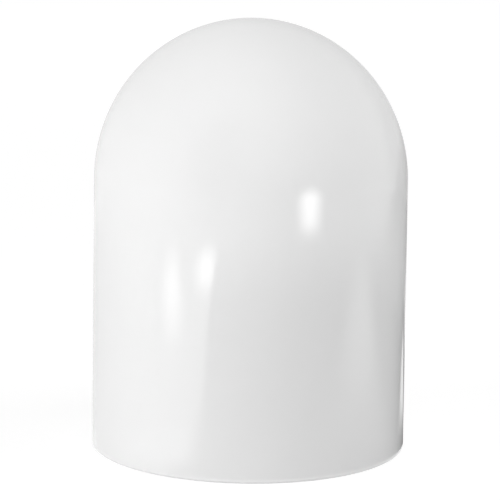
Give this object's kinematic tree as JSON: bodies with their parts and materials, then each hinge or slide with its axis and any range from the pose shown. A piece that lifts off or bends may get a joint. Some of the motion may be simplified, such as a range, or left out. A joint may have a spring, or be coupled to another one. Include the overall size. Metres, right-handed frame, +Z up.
{
  "type": "fence post cap",
  "caption": "Glossy white domed cap for a round fence post: the dome turns on and pulls off an inner collar that set screws clamp to the post.",
  "frame": {"origin": "centre of the dome's rim, on the plane that the cap stands on", "axes": "+Z up along the post's axis, towards the crown; -Y is the side that the picture shows, and the first set screw is on +Y"},
  "size_m": [0.0756, 0.0756, 0.1031],
  "materials": {
    "dome_plastic": "polished white moulding",
    "collar_plastic": "fine spark-eroded grey moulding",
    "rubber": "matt black moulded rubber",
    "insert_brass": "turned and knurled brass",
    "screw_steel": "plain stainless steel"
  },
  "bodies": {
    "collar": {"post_collar": "collar_plastic", "end_buffer": "rubber", "thread_insert_1": "insert_brass", "thread_insert_2": "insert_brass", "thread_insert_3": "insert_brass"},
    "ring": {"retaining_ring": "rubber"},
    "dome": {"dome_cap": "dome_plastic"},
    "set_screw_1": {"set_screw_1": "screw_steel"},
    "set_screw_2": {"set_screw_2": "screw_steel"},
    "set_screw_3": {"set_screw_3": "screw_steel"}
  },
  "joints": [
    {"name": "dome_turn", "type": "hinge", "parent": "collar", "child": "ring", "pos_m": [0, 0, 0.0495], "axis": [0, 0, 1], "continuous": true},
    {"name": "dome_lift", "type": "slide", "parent": "ring", "child": "dome", "axis": [0, 0, 1], "range_m": [0, 0.06]},
    {"name": "set_screw_1_drive", "type": "slide", "parent": "collar", "child": "set_screw_1", "axis": [0, -1, 0], "range_m": [0, 0.0015]},
    {"name": "set_screw_2_drive", "type": "slide", "parent": "collar", "child": "set_screw_2", "axis": [0.866, 0.5, 0], "range_m": [0, 0.0015]},
    {"name": "set_screw_3_drive", "type": "slide", "parent": "collar", "child": "set_screw_3", "axis": [-0.866, 0.5, 0], "range_m": [0, 0.0015]}
  ]
}
